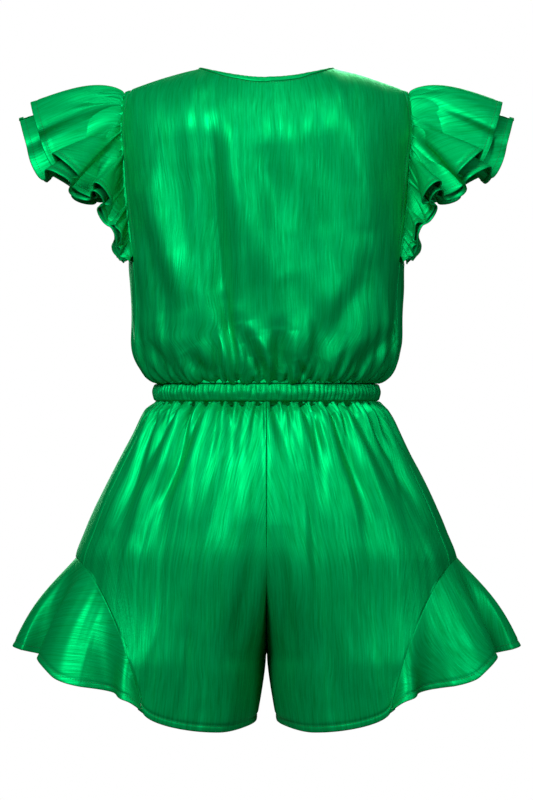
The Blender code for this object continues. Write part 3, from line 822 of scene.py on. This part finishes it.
def stripColumns(grid, axis, width, steps):
    # the last `width` of a grid's rows (axis 0) or columns (axis 1), resampled in equal steps
    if axis == 0:
        grid = np.swapaxes(grid, 0, 1)
    out = []
    for line in grid:
        lengths = np.linalg.norm(np.diff(line, axis=0), axis=1)
        back = np.concatenate([np.cumsum(lengths[::-1])[::-1], [0]])
        places = np.linspace(width, 0, steps)
        order = np.argsort(back)
        out.append(follow(places, back[order], line[order]))
    return np.array(out)


def makeBindings():
    look = bindingLook
    columns = np.where(np.abs(backGrid[-1, :, 0]) < form["neckHalf"] + 0.001)[0]
    strip = stripColumns(backGrid[:, columns], 0, form["binding"], look["steps"])
    bindingFrom("neckBindingBack", "neck_binding_back", strip, -1)
    for side, word in ((-1, "Right"), (1, "Left")):
        rows = frontGrids[side][look["firstRow"]:]
        strip = stripColumns(rows, 1, form["binding"], look["steps"])
        bindingFrom(f"neckBinding{word}", f"neck_binding_{word.lower()}", strip, -side)


makeBindings()
print("bindings")

# waistband: a narrow elastic casing, its cloth in many small gathers

bandLook = {
    "columns": 1000,
    "tilts": 15,
    "round": 0.73,
    "puff": 0.0020,
    "pitch": 0.0052,
    "ridge": 0.0034,
    "flange": 0.0026,
    "lip": 0.006,
}


def makeWaistband():
    look = bandLook
    rng = np.random.RandomState(11)
    middle = (form["waistTop"] + form["waistBottom"]) / 2
    half = (form["waistTop"] - form["waistBottom"]) / 2
    turn = np.linspace(0, 2 * math.pi, look["columns"], endpoint=False)
    tilt = np.radians(np.linspace(88, -88, look["tilts"]))
    a, t = np.meshgrid(turn, tilt)
    across, along = section(a)
    size = np.sqrt(across**2 + along**2)
    base = points(across * form["waistHalf"], along * form["waistDepth"], middle + half * np.sin(t))
    length = look["round"]
    run = turn / (2 * math.pi) * length
    fold = np.zeros(len(turn))
    upper, lower = np.zeros(len(turn)), np.zeros(len(turn))
    at = 0.0
    while at < length - 0.002:
        width = look["pitch"] * rng.uniform(0.22, 0.34)
        depth = rng.uniform(0.6, 1.1)
        away = (run - at + length / 2) % length - length / 2
        groove = depth * np.exp(-((away / width) ** 2))
        fold += groove
        lean = rng.uniform(-0.0015, 0.0015)
        upper += depth * np.exp(-(((away - lean) / width) ** 2))
        lower += depth * np.exp(-(((away + lean) / width) ** 2))
        at += look["pitch"] * rng.uniform(0.65, 1.35)
    high = np.sin(t)
    grooves = np.where(high > 0, lerp(fold, upper, np.abs(high)), lerp(fold, lower, np.abs(high)))
    out = look["puff"] * np.cos(t) ** 0.6 + look["ridge"] * (1 - 0.9 * grooves) * np.cos(t) ** 0.8
    dent = 0.0006 * np.sin(t * 2.2 + 0.4 * np.sin(a * 23)) ** 2
    p = base + points(across / size, along / size, 0) * (out - dent)[..., None]
    ends = []
    for row, sign in ((0, 1), (-1, -1)):
        x = across[0] * (form["waistHalf"] - look["flange"])
        y = along[0] * (form["waistDepth"] - look["flange"])
        inside = points(x, y, p[row, :, 2])
        ends.append([inside, inside + np.array([0, 0, sign * look["lip"]])])
    p = np.stack([ends[0][1], ends[0][0], *p, ends[1][0], ends[1][1]])
    obj = cloth("elasticCasing", p, -1, ring=True)
    dress(obj, ["waistband"], casingSatin)
    return p


bandGrid = makeWaistband()
print("waistband", round(area(bandGrid), 4))

# shorts

shortsBackLook = {
    "columns": 136,
    "gathers": {"pitch": 0.0160, "reach": 0.105, "depth": 0.0075, "lean": 0.22, "spread": 1.0},
    "fineGathers": {"pitch": 0.0070, "reach": 0.040, "depth": 0.0028, "lean": 0.2, "spread": 0.6},
    "strokes": {"count": 80, "fan": -2.2, "width": (0.005, 0.014), "reach": (0.03, 0.09), "depth": 0.0016},
    "creases": {
        1: [
            ([(12, -560), (26, -640), (40, -700)], 12, 3.2),
            ([(64, -600), (82, -680), (76, -760)], 15, 2.8),
            ([(110, -560), (132, -650), (150, -740)], 20, 2.6),
            ([(40, -470), (70, -560), (84, -640)], 14, 2.4),
            ([(120, -430), (158, -500), (186, -560)], 12, 2.8),
            ([(90, -420), (112, -480), (150, -560)], 10, 2.6),
        ],
        -1: [
            ([(10, -570), (22, -640), (34, -700)], 12, 3.0),
            ([(58, -590), (70, -670), (72, -760)], 14, 2.6),
            ([(104, -560), (124, -660), (140, -745)], 20, 2.6),
            ([(34, -480), (58, -560), (70, -640)], 14, 2.4),
            ([(126, -430), (160, -492), (190, -560)], 12, 2.8),
            ([(84, -420), (104, -480), (136, -560)], 10, 2.4),
        ],
    },
}
shortsFrontLook = {
    "columns": 112,
    "gathers": {"pitch": 0.0160, "reach": 0.095, "depth": 0.0068, "lean": 0.22, "spread": 1.0},
    "fineGathers": {"pitch": 0.0070, "reach": 0.038, "depth": 0.0026, "lean": 0.2, "spread": 0.6},
    "strokes": {"count": 70, "fan": -2.2, "width": (0.005, 0.014), "reach": (0.03, 0.09), "depth": 0.0016},
    "creases": {
        1: [
            ([(14, -570), (34, -650), (44, -720)], 13, 3.0),
            ([(90, -560), (110, -660), (120, -750)], 18, 2.6),
            ([(110, -430), (150, -500), (180, -560)], 12, 2.6),
        ],
        -1: [
            ([(14, -560), (30, -650), (46, -720)], 13, 2.8),
            ([(84, -570), (108, -660), (124, -750)], 18, 2.6),
            ([(116, -430), (148, -500), (176, -560)], 12, 2.6),
        ],
    },
}


def makeLegPanel(side, back):
    look = shortsBackLook if back else shortsFrontLook
    split = form["legSideSeam"]
    start, end = (0.0, split) if back else (split, 1.0)
    vs = stations([(0.0, 4), (0.01, 28), (0.10, 50), (0.5, 32), (0.94, 14), (0.99, 4), (1.0, 0)])
    p, u, v = panelGrid(legSurface(side, start, end), fineEnds(look["columns"], 0.008, 0.008), vs)
    edges = ("start", "end", "low", "high")
    whole = area(p)
    waist, away = arc(p, 1)[6][None, :] + 0 * v, arc(p, 0)
    size = hold(u, v, 0.03, 0.025, 0.04)
    seed = 40 + side + (10 if back else 0)
    relief = creaseRelief(p * np.array([side, 1, 1]), look["creases"][side]) * size
    relief = relief + gathers(waist, away, look["gathers"], seed) * hold(u, v, 0.02, 0.012, 0.04)
    relief = relief + gathers(waist, away, look["fineGathers"], seed + 3) * hold(u, v, 0.01, 0.006, 0.04)
    relief = relief + strokes(p, look["strokes"], seed + 7) * size
    relief = relief + 0.0008 * ripple(waist, away, seed + 5, 5, 0.024) * size
    hemmed = p[-1:, :, 2] < form["flounceEnd"] + stitchLook["hemTop"]
    relief = relief + stitchedGroove(fromEnd(p, 0), stitchLook["hem"]) * hemmed
    p = meshOut(p, side, relief + seamRoll(p, edges))
    seam = 0 if back else -1
    astray = np.where(p[:, seam, 2] > form["crotch"] + 0.002, p[:, seam, 0], 0.0)[:, None]
    gap = arc(p, 1) if back else arc(p[:, ::-1], 1)[:, ::-1]
    p[..., 0] -= astray * (1 - smooth(gap / 0.008))
    name = f"shorts{'Back' if back else 'Front'}{'Left' if side > 0 else 'Right'}"
    made = allowance(p, side, edges)
    made[..., 0] = np.maximum(made[..., 0] * side, 0.0) * side
    obj = cloth(name, made, side)
    dress(obj, [f"shorts_{'back' if back else 'front'}_{'left' if side > 0 else 'right'}"], panelSatin)
    return p, whole


legGrids = {}
for side in (1, -1):
    for back in (True, False):
        legGrids[side, back], legArea = makeLegPanel(side, back)
        print("leg panel", side, back, round(legArea, 4))

# flounces at the side of each leg

flounceLook = {
    "columns": 190,
    "rows": 58,
    "folds": {  # centre along the seam, half width, height (positive: a trough); each fold's sideways lean follows its height
        1: [(0.035, 0.035, -0.010), (0.090, 0.040, 0.012), (0.195, 0.085, -0.022), (0.315, 0.045, 0.024),
            (0.410, 0.065, -0.018), (0.505, 0.045, 0.018), (0.600, 0.070, -0.018), (0.700, 0.045, 0.022),
            (0.810, 0.080, -0.020), (0.910, 0.040, 0.012), (0.965, 0.035, -0.010)],
        -1: [(0.035, 0.035, -0.010), (0.095, 0.040, 0.012), (0.205, 0.085, -0.021), (0.325, 0.045, 0.024),
             (0.420, 0.060, -0.018), (0.515, 0.045, 0.018), (0.610, 0.070, -0.018), (0.705, 0.045, 0.022),
             (0.815, 0.080, -0.020), (0.910, 0.040, 0.012), (0.965, 0.035, -0.010)],
    },
    "overlap": 0.40,
    "tuck": 0.006,
    "grain": -35,
    "small": {"count": 26, "width": (0.008, 0.020), "depth": 0.0011},
}


def lengthOf(a):
    return np.linalg.norm(a, axis=-1, keepdims=True)


def flounceBase(w, r):
    u = lerp(form["flounceStart"], 1 - form["flounceStart"], w)
    z = legBottom(u)
    seam = legPoint(u, z)
    downLeg = seam - legPoint(u, z + 0.002)
    downLeg = downLeg / lengthOf(downLeg)
    across, along = section(math.pi * u)
    out = points(across + 0.8, along, 0.0)
    out = out / lengthOf(out)
    mid = np.sin(math.pi * unit(w))
    fall = out * lerp(0.15, 0.56, mid**1.3)[..., None] + np.array([0, 0, -1.0])
    fall = fall / lengthOf(fall)
    near = np.minimum(w, 1 - w)
    length = lerp(0.0035, 0.117, 1 - (1 - unit(near / 0.19)) ** 1.6) + 0.008 * smooth((near - 0.1) / 0.4)
    bow = out * (0.010 * mid * np.sin(math.pi * r))[..., None]
    return seam + downLeg * form["seam"] + fall * (length * r)[..., None] + bow


def makeFlounce(side, word):
    look = flounceLook
    w, r = np.meshgrid(np.linspace(0, 1, look["columns"]), np.linspace(0, 1, look["rows"]))
    p = flounceBase(w, r)
    total, slide = 0 * w, 0 * w
    for centre, width, height in look["folds"][side]:
        total = total + height * bump((w - centre) / (width * 1.35))
        slide = slide + abs(height) * np.sin(math.pi * np.clip((w - centre) / (width * 1.35), -1, 1))
    along = np.gradient(p, axis=1)
    along = along / np.maximum(lengthOf(along), 1e-9)
    rng = np.random.RandomState(60 + side)
    small = 0 * w
    for _ in range(look["small"]["count"]):
        at, wide = rng.uniform(0.04, 0.96), rng.uniform(*look["small"]["width"])
        small = small - rng.uniform(0.3, 1.0) * bump((w - at) / wide)
    moved = -total * r**1.2 + look["small"]["depth"] * small * np.sin(math.pi * r) ** 0.6
    moved = moved + stitchedGroove(fromEnd(p, 0), stitchLook["ruffle"], stitchLook["pull"])
    p = meshOut(p, 1, moved)
    p = p + along * (look["overlap"] * slide * r**1.6)[..., None]
    p = p * np.array([side, 1, 1])
    made = tuckedIn(turnedHem(p, side), side, look["tuck"])
    obj = cloth(f"flounce{word}", made, side, look["grain"] * side)
    dress(obj, [f"flounce_{word.lower()}"], ruffleSatin)
    return p, area(p)


flounceGrids = {}
for side, word in ((1, "Left"), (-1, "Right")):
    flounceGrids[side], flounceArea = makeFlounce(side, word)
    print("flounce", word, round(flounceArea, 4))

# sleeves: two gathered tiers on each side

sleeveTable = np.array([
    (0.00, -0.027, 0.112, 0.016, 0.000),
    (0.20, -0.043, 0.099, 0.036, 0.026),
    (0.40, -0.063, 0.079, 0.050, 0.040),
    (0.55, -0.083, 0.052, 0.055, 0.046),
    (0.70, -0.112, 0.027, 0.043, 0.040),
    (0.85, -0.165, 0.012, 0.026, 0.024),
    (1.00, -0.230, 0.004, 0.006, 0.004),
])
sleeveLook = {
    "columns": 272,
    "rows": 40,
    # ridges and valleys in turn, in parts of the way from the shoulder's top to the underarm
    "folds": {
        (1, True): (0.0, 0.33, 0.48, 0.61, 0.72, 0.81, 0.89, 0.95, 1.0),
        (1, False): (0.0, 0.29, 0.44, 0.58, 0.70, 0.79, 0.88, 0.94, 1.0),
        (-1, True): (0.0, 0.31, 0.46, 0.60, 0.71, 0.80, 0.88, 0.945, 1.0),
        (-1, False): (0.0, 0.30, 0.45, 0.58, 0.69, 0.78, 0.87, 0.94, 1.0),
    },
    "low": 0.005,
    "high": 0.0185,
    "overlap": 0.0125,
    "underOverlap": 0.6,
    "underSize": 0.8,
    "wall": 0.0012,
    "hemWidth": 0.005,
    "grain": 14,
    "crown": 0.013,
    "clear": 0.0004,
    "hang": 0.014,
    "armhole": (0.004, -0.130),
    "gathers": {
        "pitch": 0.0120, "reach": 0.048, "depth": 0.0085, "lean": 0.12, "spread": 1.1, "start": 0.0010,
    },
}


def sleeveBase(w, r, length):
    look = sleeveLook
    along = np.abs(2 * w - 1)
    z, out, down, reach = tableAt(sleeveTable, along)
    back = w < 0.5
    behind, before = (bodicePoint(edgeAngle(z, rear), z, rear) for rear in (True, False))
    start = np.where(back[..., None], behind, before)
    centre = points(start[..., 0], look["armhole"][0], look["armhole"][1])
    inward = centre - start
    inward = inward / lengthOf(inward)
    reach = np.where(back, reach, -reach)
    crown = look["crown"] * (1 - along) ** 2 * np.sin(math.pi * unit(r * length) ** 0.7)
    start = start + (np.array([1.0, 0, 0]) + inward) * look["clear"]
    return start + points(out, reach, -down) * (r * length)[..., None] + points(0, 0, crown)


def foldPhase(along, turns):
    knots = np.array([(place, math.pi * k) for k, place in enumerate(turns)])
    return tableAt(knots, along)[0]


def makeSleeve(side, word, under):
    look = sleeveLook
    w, r = np.meshgrid(np.linspace(0, 1, look["columns"]), np.linspace(0, 1, look["rows"]) ** 1.2)
    along = np.abs(2 * w - 1)
    length = 1.16 - 0.13 * smooth((along - 0.35) / 0.3) if under else 1.0
    p = sleeveBase(w, r, length)
    far = r * length
    behind, before = (foldPhase(along, look["folds"][side, back]) for back in (True, False))
    phase = np.where(w < 0.5, behind, before)
    size = lerp(look["low"], look["high"], smooth(along / 0.35)) * lerp(1, 0.2, smooth((along - 0.62) / 0.3))
    size = size * (look["underSize"] if under else 1.0)
    hang = (look["wall"] + form["seam"] + look["hang"] * lerp(1, 0.45, along) * far**1.5) if under else 0.0
    place, away = arc(p, 1)[0][None, :] + 0 * w, arc(p, 0)
    tucks = gathers(place, away, look["gathers"], 80 + side) * smooth(along * 20) if not under else 0.0
    down = np.gradient(p, axis=1)
    down = down / np.maximum(lengthOf(down), 1e-9) * np.where(w < 0.5, -1, 1)[..., None]
    overlap = look["overlap"] * (look["underOverlap"] if under else 1.0)
    slide = overlap * size / look["high"] * np.sin(2 * phase) * far**1.3
    groove = stitchedGroove(fromEnd(p, 0), stitchLook["ruffle"], stitchLook["pull"])
    moved = size * np.cos(phase) * far**0.95 - hang + tucks + groove
    p = meshOut(p, 1, moved) + down * slide[..., None]
    p = p * np.array([side, 1, 1])
    level = "Lower" if under else "Upper"
    made = tuckedIn(turnedHem(p, side, look["hemWidth"]), side)
    obj = cloth(f"sleeve{level}{word}", made, side, look["grain"] * side)
    dress(obj, [f"sleeve_{level.lower()}_{word.lower()}"], ruffleSatin)
    return p, area(p)


sleeveGrids = {}
for side, word in ((1, "Left"), (-1, "Right")):
    for under in (False, True):
        sleeveGrids[side, under], sleeveArea = makeSleeve(side, word, under)
        print("sleeve", word, under, round(sleeveArea, 4))

# topstitching: dashes of thread a few millimetres in from the hems, and beside the armholes and the binding


def makeStitches():
    look = stitchLook
    normals = gridNormals(backGrid, 1)
    sideways, sidewaysNormals = np.swapaxes(backGrid, 0, 1), np.swapaxes(normals, 0, 1)
    rows = []
    for fromLast in (True, False):
        line, ups = rowAtDistance(sideways, sidewaysNormals, look["armhole"], fromLast)
        kept = (line[:, 2] > look["underarm"]) & (np.abs(line[:, 0]) > form["neckHalf"] + 0.02)
        rows.append((line[kept], ups[kept]))
    neck = np.abs(backGrid[-1, :, 0]) < form["neckHalf"]
    rows.append(rowAtDistance(backGrid[:, neck], normals[:, neck], look["binding"]))
    stitches("stitchesBodiceBack", rows)
    for side, word in ((1, "Left"), (-1, "Right")):
        for back in (True, False):
            grid = legGrids[side, back]
            line, ups = rowAtDistance(grid, gridNormals(grid, side), look["hem"])
            kept = line[:, 2] < form["flounceEnd"] + look["hemTop"]
            panel = "Back" if back else "Front"
            stitches(f"stitchesHem{panel}{word}", [(line[kept], ups[kept])])
        grid = flounceGrids[side]
        stitches(f"stitchesFlounce{word}", [rowAtDistance(grid, gridNormals(grid, side), look["ruffle"])])
        for under in (False, True):
            grid = sleeveGrids[side, under]
            level = "Lower" if under else "Upper"
            rows = rowAtDistance(grid, gridNormals(grid, side), look["ruffle"])
            stitches(f"stitchesSleeve{level}{word}", [rows])


makeStitches()
print("stitches")

# camera, floor and studio

studio = {
    "camera": (0.0, 3.2, -0.4026),
    "lens": 118,
    "floor": -1.40,
    "floorHalf": 3.0,
    "paper": (0.12, 0.12, 0.12, 1),
    "ambient": 0.02,
    "lights": (  # name, place, power, size
        ("key", (1.1, 2.2, 1.3), 82, (0.9, 1.2)),
        ("right", (-1.6, 1.9, 0.7), 24, (0.6, 1.6)),
        ("top", (-0.3, 0.9, 2.2), 14, (1.2, 0.7)),
        ("front", (-0.5, -2.7, 0.9), 40, (0.7, 2.0)),
        ("frontFill", (1.0, -2.6, 0.2), 16, (0.8, 1.6)),
    ),
}


def makeStudio():
    scene = bpy.context.scene
    camera = bpy.data.cameras.new("camera")
    camera.lens, camera.sensor_width, camera.sensor_fit = studio["lens"], 36, "VERTICAL"
    camera.sensor_height = 36
    eye = bpy.data.objects.new("camera", camera)
    eye.location = studio["camera"]
    eye.rotation_euler = (math.radians(90), 0, math.radians(180))
    scene.collection.objects.link(eye)
    scene.camera = eye
    floorMesh = bpy.data.meshes.new("floor")
    s, z = studio["floorHalf"], studio["floor"]
    floorMesh.from_pydata([(-s, -s, z), (s, -s, z), (s, s, z), (-s, s, z)], [], [(0, 1, 2, 3)])
    floor = bpy.data.objects.new("floor", floorMesh)
    scene.collection.objects.link(floor)
    paper = bpy.data.materials.new("paper")
    paper.use_nodes = True
    shader = paper.node_tree.nodes["Principled BSDF"]
    shader.inputs["Base Color"].default_value = studio["paper"]
    shader.inputs["Roughness"].default_value = 0.8
    floor.data.materials.append(paper)
    world = bpy.data.worlds.new("studio")
    scene.world = world
    world.use_nodes = True
    nodes, links = world.node_tree.nodes, world.node_tree.links
    seen = nodes["Background"]
    seen.inputs["Color"].default_value = (1, 1, 1, 1)
    seen.inputs["Strength"].default_value = 1.0
    dim = nodes.new("ShaderNodeBackground")
    dim.inputs["Color"].default_value = (1, 1, 1, 1)
    dim.inputs["Strength"].default_value = studio["ambient"]
    path = nodes.new("ShaderNodeLightPath")
    choose = nodes.new("ShaderNodeMixShader")
    links.new(path.outputs["Is Camera Ray"], choose.inputs["Fac"])
    links.new(dim.outputs["Background"], choose.inputs[1])
    links.new(seen.outputs["Background"], choose.inputs[2])
    links.new(choose.outputs["Shader"], nodes["World Output"].inputs["Surface"])
    for name, place, power, size in studio["lights"]:
        light = bpy.data.lights.new(name, "AREA")
        light.energy, light.shape, light.size, light.size_y = power, "RECTANGLE", *size
        lamp = bpy.data.objects.new(name, light)
        lamp.location = place
        lamp.rotation_euler = (Vector((0, 0, -0.4)) - Vector(place)).to_track_quat("-Z", "Y").to_euler()
        scene.collection.objects.link(lamp)
    scene.view_settings.view_transform = "Standard"


makeStudio()
print("studio")
